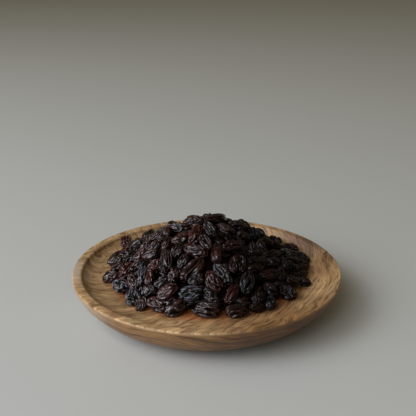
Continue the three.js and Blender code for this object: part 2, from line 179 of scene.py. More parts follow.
# A raisin's form is modelled at this size, in metres, and takes each raisin's own when copied
FORM_LENGTH = 0.013
FORM_WIDTH = 0.0078
FORM_COUNT = 18
FORM_STEP = 7
FORM_SEED = 88
BALL_DIVISIONS = 6
OUTER_FACES = 5000
FAR_FACES = 4200
INNER_FACES = 1100
CONTACT = 0.05
GIRTH_SHARE = 1.07
TURN_STEP = 2.4
SKIN_STEP = 0.02
# Across the heap, in millimetres, where the raisins' painted shade begins and where it is full
LIT_SIDE = -24
SHADED_SIDE = 26

# How a form shrinks, in millimetres, and turns, in radians. Pairs as above, but the crest's
# limits are the per cent of its points that are wholly furrow, and those that aren't crest.
BLUNTNESS = 0.14
LUMP_SIZE = 4.2
LUMP_DEPTH = 2.2
FOLD_SIZE = 2.1
FOLD_DEPTH = (1.3, 0.8)
WRINKLE_SIZE = 1.2
WRINKLE_DEPTH = (0.25, 0.25)
SKIN_STRETCH = (1.9, 1.9)
SKIN_REACH = 0.05
TWIST = (-0.6, 1.2)
BEND = (-0.35, 0.7)
TAPER = (-0.2, 0.4)
CREST_LIMITS = (5, 95)

# The skin's patches, 6 mm wide, and its grain, 0.5 mm wide, in cells a metre
SKIN_PATCHES = 170.0
SKIN_GRAIN = 1900.0
PATCH_SHIFT = 0.9
TONE_REACH = 1.2
RIDGE_START = 0.68
REFRACTION = 1.5

# Where the dish's rim plane lies as seen from the tree's middle, in metres, the tree's radius
# there, and how far its layers wander
TREE_OFFSET = (0.094, -0.046, -DISH_HEIGHT * MM)
TREE_RADIUS = 0.12
LAYER_WANDER = 0.022

# The layers' bends, 38 mm wide, and the heartwood's patches, 29 mm wide, in cells a metre
LAYER_BENDS = 26.0
HEARTWOOD_PATCHES = 34.0

# Widths across the grain and lengths along it, in millimetres
GROWTH_BAND = (5, 80)
FINE_STREAK = (1.1, 26)
BROAD_STREAK = (3.6, 34)
PORE = (0.6, 7)

# The set, in metres and watts
TABLE_SIZE = 12
LIT_PLACE = (0, 0, 0.02)
DAYLIGHT = "#eff3fb"
ROOM_LIGHT = "#c2b596"
ROOM_STRENGTH = 0.33


# Laying the raisins

def seeded_draw(seed):
    """A repeatable draw between 0 and 1."""
    state = seed

    def draw():
        nonlocal state
        state = (state * DRAW_FACTOR + DRAW_SHIFT) % DRAW_RANGE
        return state / DRAW_RANGE

    return draw


def drawn(draw, span):
    """A draw from a span, which gives the least and how much more it can be."""
    return span[0] + span[1] * draw()


def dish_surface(radius):
    """Height of the dish's upper surface at a distance from its middle."""
    share = np.clip((radius - FLOOR_RADIUS) / (COVE_RADIUS - FLOOR_RADIUS), 0, 1)
    depth = DISH_HEIGHT - RIM_ROUND - FLOOR_HEIGHT
    fall = 1 - np.sqrt(1 - COVE_STEEPNESS * share * share)
    return FLOOR_HEIGHT + depth * fall / (1 - math.sqrt(1 - COVE_STEEPNESS))


def heap_surface(x, y):
    """Height of the heap's outer surface: a rounded cone, wider from side to side."""
    reach = math.hypot((x - HEAP_MIDDLE[0]) / SIDE_SHARE, y - HEAP_MIDDLE[1]) / HEAP_RADIUS
    soft = math.hypot(reach, HEAP_ROUNDNESS) - HEAP_ROUNDNESS
    full = math.hypot(1, HEAP_ROUNDNESS) - HEAP_ROUNDNESS
    return FLOOR_HEIGHT + HEAP_RISE * (1 - soft / full)


def lying_height(x, y, thickness):
    on_heap = heap_surface(x, y) - SLOPE_DEPTH * thickness
    on_dish = float(dish_surface(math.hypot(x, y))) + LYING_DEPTH * thickness
    return max(on_heap, on_dish)


def unit(vector):
    return vector / np.linalg.norm(vector)


def lying_normal(x, y, thickness):
    east = lying_height(x + SLOPE_STEP, y, thickness) - lying_height(x - SLOPE_STEP, y, thickness)
    north = lying_height(x, y + SLOPE_STEP, thickness) - lying_height(x, y - SLOPE_STEP, thickness)
    return unit(np.array([-east, -north, 2 * SLOPE_STEP]))


PICTURE_RIGHT = np.array([1.0, 0.0, 0.0])
PICTURE_AHEAD = np.array([0.0, math.cos(EYE_TILT), -math.sin(EYE_TILT)])
PICTURE_UP = np.cross(PICTURE_RIGHT, PICTURE_AHEAD)


def sight_line(across, down):
    return (
        PICTURE_AHEAD
        + PICTURE_RIGHT * (across - PICTURE_MIDDLE) / PICTURE_REACH
        + PICTURE_UP * (PICTURE_MIDDLE - down) / PICTURE_REACH
    )


def in_picture(place):
    """Where in the picture a place in space is seen, across and down."""
    offset = place - EYE
    share = PICTURE_REACH / (offset @ PICTURE_AHEAD)
    across = PICTURE_MIDDLE + share * (offset @ PICTURE_RIGHT)
    down = PICTURE_MIDDLE - share * (offset @ PICTURE_UP)
    return across, down


def point_on_heap(across, down, thickness):
    """The place on the lying surface where a sight line reaches it, or passes nearest to it."""
    sight = sight_line(across, down)
    nearest_gap, nearest = math.inf, None
    reach = NEAR_REACH
    while reach < FAR_REACH and nearest_gap > 0:
        place = EYE + sight * reach
        gap = place[2] - lying_height(place[0], place[1], thickness)
        if gap < nearest_gap:
            nearest_gap, nearest = gap, place
        reach += SIGHT_STEP
    x, y, _ = nearest
    return np.array([x, y, lying_height(x, y, thickness)])


def raisin_at(place, along, length, width, tone, seen):
    """A raisin at a place, as long as said, which turns its flatter side to what it lies on."""
    thickness = width * THICKNESS_SHARE
    normal = lying_normal(place[0], place[1], thickness)
    lengthwise = unit(along)
    up = unit(normal - lengthwise * (normal @ lengthwise))
    return {
        "place": place, "lengthwise": lengthwise, "sideways": np.cross(up, lengthwise), "up": up,
        "length": length, "width": width, "thickness": thickness, "tone": tone, "seen": seen,
    }


def seen_raisin(row):
    """A raisin read from the picture: it turns towards the slope, and leans as it is seen to."""
    across, down, lean, seen_length, width, tone = row
    thickness = width * THICKNESS_SHARE
    place = point_on_heap(across, down, thickness)
    normal = lying_normal(place[0], place[1], thickness)
    sight = unit(sight_line(across, down))
    angle = math.radians(lean)
    along = PICTURE_RIGHT * math.cos(angle) + PICTURE_UP * math.sin(angle)
    turn = -(normal @ along) / (normal @ sight)
    along = along + sight * min(TURN_LIMIT, max(-TURN_LIMIT, turn))
    length = min(LONGEST, max(SHORTEST, seen_length * np.linalg.norm(along)))
    return raisin_at(place, along, length, width, tone, True)


def half_height(raisin):
    """How far a raisin reaches over and under its middle."""
    return 0.5 * math.hypot(
        raisin["length"] * raisin["lengthwise"][2],
        raisin["width"] * raisin["sideways"][2],
        raisin["thickness"] * raisin["up"][2],
    )


def ball_radius(raisin):
    return 0.25 * (raisin["width"] + raisin["thickness"])


def balls_of(raisin):
    """The middles of three balls that stand for a raisin's body when it is laid against others."""
    reach = 0.5 * raisin["length"] - ball_radius(raisin)
    return raisin["place"] + np.outer((-1, 0, 1), raisin["lengthwise"] * reach)


def crowded(raisin, balls, radii, share):
    """Whether a raisin's balls come nearer to others than this share of their girth."""
    if not balls:
        return False
    own = balls_of(raisin)
    rest = np.array(balls)
    near = np.linalg.norm(rest[:, 1] - own[1], axis=1) < NEIGHBOUR_REACH
    limit = share * (ball_radius(raisin) + np.array(radii)[near])
    apart = np.linalg.norm(rest[near][:, :, None] - own, axis=3)
    return bool((apart < limit[:, None, None]).any())


def settle(raisins, held=()):
    """Raisins that crowd each other move apart, and stay close to where they were laid."""
    everyone = [*raisins, *held]
    laid = np.array([raisin["place"] for raisin in everyone])
    places = laid.copy()
    radii = np.array([ball_radius(raisin) for raisin in everyone])
    reaches = np.array([
        raisin["lengthwise"] * (0.5 * raisin["length"] - ball_radius(raisin)) for raisin in everyone
    ])
    touch = TOUCH_SHARE * (radii[:, None] + radii[None])[:, :, None, None]
    lift = 2 * LYING_DEPTH * np.array([half_height(raisin) for raisin in everyone])
    moving = np.arange(len(everyone)) < len(raisins)
    for _ in range(SETTLE_PASSES):
        balls = places[:, None] + reaches[:, None] * np.array([-1, 0, 1])[None, :, None]
        apart = balls[:, None, :, None] - balls[None, :, None, :]
        distance = np.linalg.norm(apart, axis=4)
        near = np.linalg.norm(places[:, None] - places[None], axis=2) < NEIGHBOUR_REACH
        np.fill_diagonal(near, False)
        missing = np.where(near[:, :, None, None], np.maximum(touch - distance, 0), 0)
        pushes = (apart * (missing / np.maximum(distance, LEAST_DISTANCE))[..., None]).sum(axis=(1, 2, 3))
        moved = places + PUSH_SHARE * pushes
        moved += (laid - moved) * RETURN_SHARE
        lowest = dish_surface(np.hypot(moved[:, 0], moved[:, 1])) + lift
        moved[:, 2] = np.maximum(moved[:, 2], lowest)
        places = np.where(moving[:, None], moved, places)
    for raisin, place in zip(raisins, places):
        raisin["place"] = place


def hidden_from_front(raisin):
    """A raisin is hidden where others of the front stand higher in the picture than its balls."""
    for ball in balls_of(raisin):
        across, down = in_picture(ball)
        if not any(
            abs(row[0] - across) < COVER_REACH and down - row[1] > COVER_DROP for row in SEEN_ROWS
        ):
            return False
    return True


def sinks_behind_front(raisin):
    """A drawn raisin sinks until raisins of the front hide it, or it is given up."""
    for _ in range(SINK_STEPS):
        if hidden_from_front(raisin):
            return True
        raisin["place"] = raisin["place"] - (0, 0, SINK_STEP)
    return False


def drawn_raisin(draw, depth):
    """A raisin drawn at a place on the heap, and the sine of its azimuth."""
    azimuth = 2 * math.pi * draw()
    radius = HEAP_RADIUS * math.sqrt(draw())
    heading = 2 * math.pi * draw()
    length = drawn(draw, FILL_LENGTH)
    width = drawn(draw, FILL_WIDTH)
    x = HEAP_MIDDLE[0] + SIDE_SHARE * radius * math.cos(azimuth)
    y = HEAP_MIDDLE[1] + radius * math.sin(azimuth)
    thickness = width * THICKNESS_SHARE
    place = np.array([x, y, lying_height(x, y, thickness)])
    normal = lying_normal(x, y, thickness)
    along = np.array([math.cos(heading), math.sin(heading), 0.0])
    raisin = raisin_at(place, along - normal * (normal @ along), length, width, 0, False)
    raisin["place"] = raisin["place"] - depth * raisin["up"]
    return raisin, math.sin(azimuth)


def fill(raisins, draw, draws, share, depth, fits):
    """Draws raisins and keeps those that fit and crowd no other."""
    balls = [balls_of(raisin) for raisin in raisins]
    radii = [ball_radius(raisin) for raisin in raisins]
    for _ in range(draws):
        raisin, far = drawn_raisin(draw, depth)
        if fits(raisin, far) and not crowded(raisin, balls, radii, share):
            raisins.append(raisin)
            balls.append(balls_of(raisin))
            radii.append(ball_radius(raisin))


def lay_outer_raisins():
    raisins = [seen_raisin(row) for row in SEEN_ROWS]
    fill(
        raisins, seeded_draw(SEED), FILL_DRAWS, FILL_TOUCH_SHARE, 0,
        lambda raisin, far: far > FAR_SIDE and sinks_behind_front(raisin),
    )
    settle(raisins)
    draw = seeded_draw(SEED)
    for raisin in raisins:
        if not raisin["seen"]:
            raisin["tone"] = drawn(draw, DRAWN_TONE)
    return raisins


def stays_covered(raisin):
    """Whether a raisin that lies on the dish at this place stays under the heap's surface."""
    x, y, _ = raisin["place"]
    top = float(dish_surface(math.hypot(x, y))) + raisin["thickness"]
    return math.dist((x, y), HEAP_MIDDLE) < INNER_RADIUS and top < heap_surface(x, y) - INNER_COVER


def lay_inner_raisins(outer):
    """A second layer, deeper in the heap, which fills the gaps that the outer raisins leave."""
    inner = []
    fill(
        inner, seeded_draw(INNER_SEED), INNER_DRAWS, INNER_TOUCH_SHARE, INNER_DEPTH,
        lambda raisin, far: stays_covered(raisin),
    )
    settle(inner, outer)
    return inner


def lies_loose(raisin):
    """A raisin at the foot of the heap lies loose on the dish."""
    x, y, z = raisin["place"]
    low = z - half_height(raisin) < dish_surface(math.hypot(x, y)) + FOOT_LIFT
    return low and math.dist((x, y), HEAP_MIDDLE) > FOOT_RING


def heap_azimuth(raisin):
    x, y, _ = raisin["place"]
    return math.atan2(y - HEAP_MIDDLE[1], x - HEAP_MIDDLE[0])


# Modelling

def select_only(*pieces):
    bpy.ops.object.select_all(action="DESELECT")
    for piece in pieces:
        piece.select_set(True)
    bpy.context.view_layer.objects.active = pieces[0]


def apply_modifiers(piece):
    select_only(piece)
    for modifier in list(piece.modifiers):
        bpy.ops.object.modifier_apply(modifier=modifier.name)


def add_modifier(piece, kind, **settings):
    modifier = piece.modifiers.new(kind.title(), kind)
    for name, value in settings.items():
        setattr(modifier, name, value)
    return modifier


def arc(middle, radius, span, steps):
    """Profile points on an arc, as radius and height, from one angle to another in degrees."""
    start, end = span
    angles = (math.radians(start + (end - start) * step / steps) for step in range(steps + 1))
    return [(middle[0] + radius * math.cos(a), middle[1] + radius * math.sin(a)) for a in angles]


def dish_profile():
    """The dish's outline from the middle of its foot over wall, rim and cove to its floor's middle."""
    profile = [(POLE_RADIUS, 0), (FOOT_RADIUS / 2, 0), (FOOT_RADIUS - FOOT_EDGE, 0)]
    wall_height = DISH_HEIGHT - RIM_EDGE
    for step in range(WALL_STEPS + 1):
        share = (step / WALL_STEPS) ** WALL_CROWDING
        swell = (1 - (1 - share) ** WALL_SWELL) ** (1 / WALL_SWELL)
        if share * wall_height > LEAST_RISE:
            profile.append((FOOT_RADIUS + (DISH_RADIUS - FOOT_RADIUS) * swell, share * wall_height))
    profile += arc((DISH_RADIUS - RIM_EDGE, DISH_HEIGHT - RIM_EDGE), RIM_EDGE, EDGE_ARC, EDGE_STEPS)
    profile += arc((COVE_RADIUS + RIM_ROUND, DISH_HEIGHT - RIM_ROUND), RIM_ROUND, ROUND_ARC, EDGE_STEPS)
    for step in range(COVE_STEPS, -1, -1):
        share = 1 - (1 - step / COVE_STEPS) ** COVE_CROWDING
        radius = FLOOR_RADIUS + (COVE_RADIUS - FLOOR_RADIUS) * share
        profile.append((radius, float(dish_surface(radius))))
    for ring in range(FLOOR_RINGS - 1, 0, -1):
        profile.append((FLOOR_RADIUS * ring / FLOOR_RINGS, FLOOR_HEIGHT))
    return profile + [(POLE_RADIUS, FLOOR_HEIGHT)]


def turn_on_lathe(name, profile, sides):
    """A turned solid: one ring is drawn out from each point of the profile to the next."""
    bpy.ops.object.select_all(action="DESELECT")
    bpy.ops.mesh.primitive_circle_add(
        vertices=sides, radius=profile[0][0] * MM, fill_type="NGON", location=(0, 0, profile[0][1] * MM)
    )
    piece = bpy.context.object
    piece.name = name
    bpy.ops.object.transform_apply()
    bpy.ops.object.mode_set(mode="EDIT")
    bpy.ops.mesh.select_mode(type="EDGE")
    bpy.ops.mesh.select_all(action="DESELECT")
    bpy.ops.mesh.select_non_manifold()
    for (radius, height), (next_radius, next_height) in zip(profile, profile[1:]):
        bpy.ops.mesh.extrude_region_move(
            TRANSFORM_OT_translate={"value": (0, 0, (next_height - height) * MM)}
        )
        share = next_radius / radius
        bpy.ops.transform.resize(value=(share, share, 1), center_override=(0, 0, 0))
    bpy.ops.mesh.edge_face_add()
    bpy.ops.mesh.select_all(action="SELECT")
    bpy.ops.mesh.normals_make_consistent(inside=False)
    bpy.ops.object.mode_set(mode="OBJECT")
    bpy.ops.object.shade_smooth()
    return piece


def skin_texture(name, kind, scale, **settings):
    texture = bpy.data.textures.new(name, kind)
    texture.noise_scale = scale
    for key, value in settings.items():
        setattr(texture, key, value)
    return texture


RIDGES = {
    "musgrave_type": "RIDGED_MULTIFRACTAL", "noise_basis": "IMPROVED_PERLIN",
    "octaves": 1, "offset": 1, "gain": 1,
}
LUMPS = skin_texture("shrunken flesh", "CLOUDS", LUMP_SIZE * MM, noise_depth=1)
FOLDS = skin_texture("skin folds", "MUSGRAVE", FOLD_SIZE * MM, **RIDGES)
WRINKLES = skin_texture("skin wrinkles", "MUSGRAVE", WRINKLE_SIZE * MM, **RIDGES)


def core_profile():
    """The outline of the heap's dark inside, well under its surface, from its middle down to its foot."""
    profile = []
    for step in range(CORE_STEPS + 1):
        radius = POLE_RADIUS + (CORE_RADIUS - POLE_RADIUS) * step / CORE_STEPS
        height = heap_surface(HEAP_MIDDLE[0], HEAP_MIDDLE[1] - radius) - CORE_DEPTH
        profile.append((radius, max(height, FLOOR_HEIGHT + CONTACT)))
    return [*profile, (POLE_RADIUS, FLOOR_HEIGHT + CONTACT / 2)]


def mesh_places(mesh):
    places = np.empty(3 * len(mesh.vertices))
    mesh.vertices.foreach_get("co", places)
    return places.reshape(-1, 3)


def set_attribute(mesh, name, kind, values):
    attribute = mesh.attributes.new(name, kind, "POINT")
    key = "vector" if kind == "FLOAT_VECTOR" else "value"
    attribute.data.foreach_set(key, np.asarray(values, np.float32).ravel())


def model_form(index, draw):
    """One raisin: a ball drawn out, shrunken into lumps, folded, wrinkled, twisted and bent."""
    bpy.ops.object.select_all(action="DESELECT")
    bpy.ops.mesh.primitive_ico_sphere_add(subdivisions=BALL_DIVISIONS, radius=FORM_WIDTH / 2)
    form = bpy.context.object
    form.name = f"raisin_form_{index}"
    bpy.ops.object.mode_set(mode="EDIT")
    bpy.ops.mesh.select_all(action="SELECT")
    shares = (FORM_LENGTH / FORM_WIDTH, 1, THICKNESS_SHARE)
    bpy.ops.transform.resize(value=shares, center_override=(0, 0, 0))
    bpy.ops.object.mode_set(mode="OBJECT")
    add_modifier(form, "CAST", cast_type="CUBOID", factor=BLUNTNESS)

    stretch = drawn(draw, SKIN_STRETCH)
    guide = bpy.data.objects.new("skin_guide", None)
    bpy.context.scene.collection.objects.link(guide)
    guide.location = [SKIN_REACH * draw() for _ in range(3)]
    guide.scale = (stretch, 1, 1)
    bpy.context.view_layer.update()
    shared = {"texture_coords": "OBJECT", "texture_coords_object": guide, "mid_level": 0.5}
    add_modifier(form, "DISPLACE", texture=LUMPS, strength=LUMP_DEPTH * MM, **shared)
    apply_modifiers(form)
    smooth_places = mesh_places(form.data)
    normals = np.array([vertex.normal for vertex in form.data.vertices])
    add_modifier(form, "DISPLACE", texture=FOLDS, strength=drawn(draw, FOLD_DEPTH) * MM, **shared)
    add_modifier(form, "DISPLACE", texture=WRINKLES, strength=drawn(draw, WRINKLE_DEPTH) * MM, **shared)
    apply_modifiers(form)
    bpy.data.objects.remove(guide)

    rise = ((mesh_places(form.data) - smooth_places) * normals).sum(axis=1)
    low, high = np.percentile(rise, CREST_LIMITS)
    set_attribute(form.data, "crest", "FLOAT", np.clip((rise - low) / (high - low), 0, 1))
    twist, bend, taper = drawn(draw, TWIST), drawn(draw, BEND), drawn(draw, TAPER)
    add_modifier(form, "SIMPLE_DEFORM", deform_method="TWIST", deform_axis="X", angle=twist)
    add_modifier(form, "SIMPLE_DEFORM", deform_method="BEND", deform_axis="Z", angle=bend)
    add_modifier(form, "SIMPLE_DEFORM", deform_method="TAPER", deform_axis="X", factor=taper)
    apply_modifiers(form)

    places = mesh_places(form.data)
    low, high = places.min(axis=0), places.max(axis=0)
    places = (places - (low + high) / 2) / (high - low)
    form.data.vertices.foreach_set("co", places.ravel())
    skin_places = places * (FORM_LENGTH, FORM_WIDTH, FORM_WIDTH)
    set_attribute(form.data, "skin_place", "FLOAT_VECTOR", skin_places)
    bpy.ops.object.shade_smooth()
    return form


def thinned(form, faces):
    """A copy of a form with fewer faces."""
    select_only(form)
    copy = bpy.data.objects.new(form.name + "_thin", form.data.copy())
    bpy.context.scene.collection.objects.link(copy)
    add_modifier(copy, "DECIMATE", ratio=faces / len(copy.data.polygons))
    apply_modifiers(copy)
    return copy


def copy_raisin(form, raisin, index):
    """A copy of a form, with its own mesh, laid at a raisin's place at its own size."""
    mesh = form.data.copy()
    turn = Matrix.Rotation(TURN_STEP * index, 4, "X")
    girth = GIRTH_SHARE * MM
    size = Matrix.Diagonal((raisin["length"] * MM, raisin["width"] * girth, raisin["thickness"] * girth, 1))
    axes = Matrix((raisin["lengthwise"], raisin["sideways"], raisin["up"])).transposed().to_4x4()
    flip = Matrix.Rotation(math.pi * (index % 2), 4, "Z")
    mesh.transform(Matrix.Translation(raisin["place"] * MM) @ axes @ size @ flip @ turn)
    copy = bpy.data.objects.new(f"raisin_copy_{index}", mesh)
    bpy.context.scene.collection.objects.link(copy)

    places = mesh_places(mesh) / MM
    floor = dish_surface(np.hypot(places[:, 0], places[:, 1])) + CONTACT
    places[:, 2] = np.maximum(places[:, 2], floor)
    mesh.vertices.foreach_set("co", (places * MM).ravel())
    count = len(mesh.vertices)
    set_attribute(mesh, "tone", "FLOAT", np.full(count, raisin["tone"]))
    # How far a raisin lies in the painted shade of the heap's right side
    right_side_shade = (raisin["place"][0] - LIT_SIDE) / (SHADED_SIDE - LIT_SIDE)
    set_attribute(mesh, "right_side_shade", "FLOAT", np.full(count, min(max(right_side_shade, 0), 1)))
    skin = np.empty(3 * count, np.float32)
    mesh.attributes["skin_place"].data.foreach_get("vector", skin)
    mesh.attributes["skin_place"].data.foreach_set("vector", skin + SKIN_STEP * index)
    return copy


def joined(name, copies):
    select_only(*copies)
    if len(copies) > 1:
        bpy.ops.object.join()
    piece = bpy.context.view_layer.objects.active
    piece.name = name
    return piece


# Materials

def colour(code):
    """An sRGB hex colour as linear values."""
    parts = [int(code[i:i + 2], 16) / 255 for i in (1, 3, 5)]
    return (*(p / 12.92 if p <= 0.04045 else ((p + 0.055) / 1.055) ** 2.4 for p in parts), 1)


def add_node(material, kind, links=None, **settings):
    """Adds a node with its settings. Links give a socket another socket, or a value."""
    tree = material.node_tree
    node = tree.nodes.new("ShaderNode" + kind)
    for name, value in settings.items():
        setattr(node, name, value)
    for name, value in (links or {}).items():
        socket = node.inputs[name]
        if isinstance(value, bpy.types.NodeSocket):
            tree.links.new(value, socket)
        else:
            socket.default_value = value
    return node


def set_ramp(node, *stops):
    """Sets a ramp's stops, each as position and colour."""
    points = node.color_ramp.elements
    while len(points) < len(stops):
        points.new(1)
    for point, (position, tint) in zip(points, stops):
        point.position = position
        point.color = tint
    return node


def new_material(name):
    material = bpy.data.materials.new(name)
    material.use_nodes = True
    material.node_tree.nodes.clear()
    return material


def finish_material(material, shader_links):
    shader = add_node(material, "BsdfPrincipled", shader_links)
    add_node(material, "OutputMaterial", {"Surface": shader.outputs["BSDF"]})
    return material


def white(level):
    return (level, level, level, 1)


def stained(material, share, under, stain):
    """A colour with a share of a stain laid over it."""
    return add_node(
        material, "Mix", {"Factor": share, "A": under, "B": stain}, data_type="RGBA", blend_type="MULTIPLY"
    ).outputs["Result"]


def skin_colour(skin, share, crest):
    """Skin from blue-black to red-brown, with painted shade that darkens it down in its furrows and a
    painted highlight that lightens its crests.
    """
    tint = set_ramp(
        add_node(skin, "ValToRGB", {"Fac": share}),
        (0.0, colour("#14131a")), (0.35, colour("#1d1112")), (0.6, colour("#301514")),
        (0.85, colour("#431614")), (1.0, colour("#561c18")),
    ).outputs["Color"]
    # Painted shade and highlight: by its crest the skin goes nearly black in the furrows and a little
    # lighter on the ridges
    depth = set_ramp(
        add_node(skin, "ValToRGB", {"Fac": crest}),
        (0.0, white(0.06)), (0.5, white(0.36)), (0.8, white(0.8)), (1.0, white(1.15)),
    ).outputs["Color"]
    return stained(skin, 1.0, tint, depth)


def ridge_wax_and_highlight(skin, mood, share, crest, shaded):
    """Wax and dust rubbed onto the ridges as a pale film that is partly a painted highlight, the most and
    bluest on the blue-black ones.
    """
    ridge = add_node(skin, "MapRange", {"Value": crest, "From Min": RIDGE_START}).outputs["Result"]
    waxy = add_node(
        skin, "MapRange", {"Value": mood, "From Min": -0.4, "From Max": -1.1, "To Min": 0.08, "To Max": 0.6}
    ).outputs["Result"]
    film = add_node(skin, "Math", {0: waxy, 1: ridge}, operation="MULTIPLY").outputs["Value"]
    film_tint = set_ramp(
        add_node(skin, "ValToRGB", {"Fac": share}), (0.1, colour("#7d8294")), (0.4, colour("#8a7070")),
    ).outputs["Color"]
    return add_node(
        skin, "Mix", {"Factor": film, "A": shaded, "B": film_tint}, data_type="RGBA"
    ).outputs["Result"]


def furrow_gloss(skin, crest, right_side_shade):
    """Light that falls into a furrow stays there, so only what stands out is glossy, and it is less glossy
    under the painted shade of the heap's right side.
    """
    shine = add_node(skin, "MapRange", {"Value": right_side_shade, "To Min": 0.75, "To Max": 0.25}).outputs["Result"]
    return add_node(skin, "MapRange", {"Value": crest, "To Min": 0.1, "To Max": shine}).outputs["Result"]


def raisin_skin():
    """Sun-dried grape skin: nearly black, red where it is thin, with painted shade in its furrows and on the
    heap's right side, and a waxy shine with a painted highlight on its ridges.
    """
    skin = new_material("sun_dried_grape_skin")
    tone = add_node(skin, "Attribute", attribute_name="tone").outputs["Fac"]
    crest = add_node(skin, "Attribute", attribute_name="crest").outputs["Fac"]
    right_side_shade = add_node(skin, "Attribute", attribute_name="right_side_shade").outputs["Fac"]
    place = add_node(skin, "Attribute", attribute_name="skin_place").outputs["Vector"]
    patches = add_node(
        skin, "TexNoise", {"Vector": place, "Scale": SKIN_PATCHES, "Detail": 2.0}
    ).outputs["Fac"]
    shift = add_node(
        skin, "Math", {0: patches, 1: PATCH_SHIFT, 2: -PATCH_SHIFT / 2}, operation="MULTIPLY_ADD"
    ).outputs["Value"]
    mood = add_node(skin, "Math", {0: tone, 1: shift}, operation="ADD").outputs["Value"]
    share = add_node(
        skin, "MapRange", {"Value": mood, "From Min": -TONE_REACH, "From Max": TONE_REACH}
    ).outputs["Result"]
    waxed_and_highlit = ridge_wax_and_highlight(skin, mood, share, crest, skin_colour(skin, share, crest))
    # Painted shade: the raisins towards the heap's right side are darkened and shine less
    shaded_right = stained(skin, right_side_shade, waxed_and_highlit, colour("#9c9894"))
    fine = add_node(
        skin, "TexNoise", {"Vector": place, "Scale": SKIN_GRAIN, "Detail": 3.0, "Roughness": 0.6}
    ).outputs["Fac"]
    bump = add_node(skin, "Bump", {"Height": fine, "Strength": 0.35, "Distance": 0.0002}).outputs["Normal"]
    roughness = add_node(
        skin, "MapRange", {"Value": patches, "From Min": 0.3, "From Max": 0.7, "To Min": 0.14, "To Max": 0.3}
    ).outputs["Result"]
    return finish_material(skin, {
        "Base Color": shaded_right, "Roughness": roughness, "Normal": bump, "IOR": REFRACTION,
        "Specular IOR Level": furrow_gloss(skin, crest, right_side_shade),
    })


def growth_layers(wood, place, outer_wall):
    """Distance across the tree's growth layers, and along them, at a place in the wood."""
    # The layers run round the tree's middle, beyond the dish's left edge, and lie nearly flat
    offset = add_node(wood, "VectorMath", {0: place, 1: TREE_OFFSET}, operation="ADD").outputs["Vector"]
    bend = add_node(
        wood, "TexNoise", {"Vector": place, "Scale": LAYER_BENDS, "Detail": 3.0}
    ).outputs["Fac"]
    parts = add_node(wood, "SeparateXYZ", {"Vector": offset}).outputs
    flat = add_node(wood, "CombineXYZ", {"X": parts["X"], "Y": parts["Y"]}).outputs["Vector"]
    reach = add_node(wood, "VectorMath", {0: flat}, operation="LENGTH").outputs["Value"]
    # On the outer wall they show as long streaks that follow the rim
    reach_share = add_node(
        wood, "MapRange", {"Value": outer_wall, "To Min": 1.0, "To Max": 0.22}
    ).outputs["Result"]
    height_share = add_node(
        wood, "MapRange", {"Value": outer_wall, "To Min": 0.8, "To Max": 1.5}
    ).outputs["Result"]
    height = add_node(wood, "Math", {0: parts["Z"], 1: height_share}, operation="MULTIPLY").outputs["Value"]
    tilted = add_node(
        wood, "Math", {0: reach, 1: reach_share, 2: height}, operation="MULTIPLY_ADD"
    ).outputs["Value"]
    layer = add_node(
        wood, "Math", {0: bend, 1: LAYER_WANDER, 2: tilted}, operation="MULTIPLY_ADD"
    ).outputs["Value"]
    turn = add_node(wood, "Math", {0: parts["Y"], 1: parts["X"]}, operation="ARCTAN2").outputs["Value"]
    along = add_node(wood, "Math", {0: turn, 1: TREE_RADIUS}, operation="MULTIPLY").outputs["Value"]
    return layer, along


def grain_noise(wood, grain, streak, detail):
    """Noise in streaks of this width across the grain and this length along it."""
    layer, along = grain
    across_scaled = add_node(wood, "Math", {0: layer, 1: 1000 / streak[0]}, operation="MULTIPLY")
    along_scaled = add_node(wood, "Math", {0: along, 1: 1000 / streak[1]}, operation="MULTIPLY")
    grain_place = add_node(wood, "CombineXYZ", {
        "X": across_scaled.outputs["Value"], "Y": along_scaled.outputs["Value"],
    }).outputs["Vector"]
    return add_node(
        wood, "TexNoise", {"Vector": grain_place, "Scale": 1.0, "Detail": detail, "Roughness": 0.6}
    ).outputs["Fac"]


def blot(wood, place, middle, full, gone, most):
    """A soft round spot seen from above, in millimetres, with the most in its middle."""
    from_middle = add_node(
        wood, "VectorMath", {0: place, 1: (-middle[0] * MM, -middle[1] * MM, 0.0)}, operation="ADD"
    ).outputs["Vector"]
    level = add_node(
        wood, "VectorMath", {0: from_middle, 1: (1.0, 1.0, 0.0)}, operation="MULTIPLY"
    ).outputs["Vector"]
    distance = add_node(wood, "VectorMath", {0: level}, operation="LENGTH").outputs["Value"]
    return add_node(
        wood, "MapRange",
        {"Value": distance, "From Min": full * MM, "From Max": gone * MM, "To Min": most, "To Max": 0.0},
        interpolation_type="SMOOTHSTEP",
    ).outputs["Result"]


def grain_colour(wood, grain, bands, pores):
    """Pale and brown growth bands, crossed by fine and broad streaks and dark pores."""
    tint = set_ramp(
        add_node(wood, "ValToRGB", {"Fac": bands}),
        (0.3, colour("#966f4c")), (0.42, colour("#b58f61")), (0.55, colour("#cea87a")),
        (0.68, colour("#b38c60")), (0.8, colour("#98724f")),
    ).outputs["Color"]
    streaks = set_ramp(
        add_node(wood, "ValToRGB", {"Fac": grain_noise(wood, grain, FINE_STREAK, 3.0)}),
        (0.36, white(0.5)), (0.52, white(1.0)),
    ).outputs["Color"]
    broad_streaks = set_ramp(
        add_node(wood, "ValToRGB", {"Fac": grain_noise(wood, grain, BROAD_STREAK, 4.0)}),
        (0.36, white(0.38)), (0.5, white(0.85)), (0.62, white(1.12)),
    ).outputs["Color"]
    streaked = stained(wood, 0.6, stained(wood, 0.75, tint, streaks), broad_streaks)
    return stained(wood, 0.85, streaked, pores)


